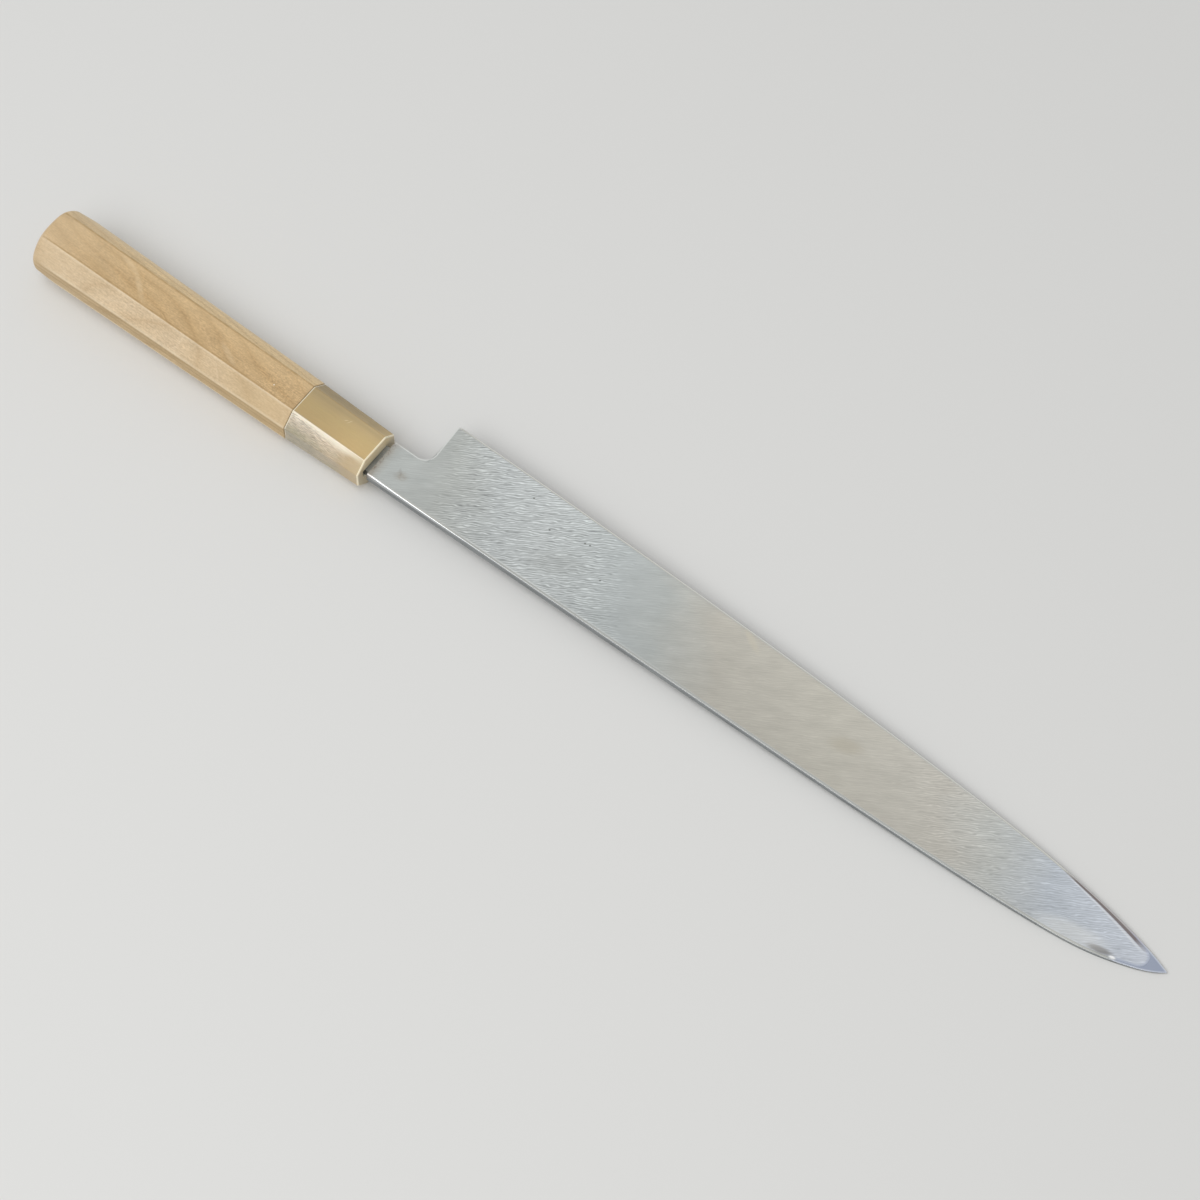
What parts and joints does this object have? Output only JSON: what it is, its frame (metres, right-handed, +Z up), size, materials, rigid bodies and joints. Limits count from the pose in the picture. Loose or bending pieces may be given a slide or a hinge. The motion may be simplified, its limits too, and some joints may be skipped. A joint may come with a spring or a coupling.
{
  "type": "yanagiba knife",
  "caption": "Long single-bevel slicing knife with a hollow-ground back, octagonal magnolia grip and blond horn ferrule, lying back up.",
  "frame": {"origin": "at table level under the middle of the knife's box, the knife lying on its bevel side", "axes": "+X along the grip's axis to the point, +Y from the spine to the cutting edge, +Z up out of the hollow back"},
  "size_m": [0.4624, 0.0392, 0.0212],
  "materials": {
    "edge_steel": "satin, stone-ground hollow back",
    "soft_iron": "satin, polished spine",
    "horn": "polished blond horn",
    "magnolia": "bare, fine sanded"
  },
  "bodies": {
    "root": {"blade_edge_steel": "edge_steel", "blade_soft_iron": "soft_iron", "horn_ferrule": "horn", "wood_body": "magnolia"}
  },
  "joints": []
}
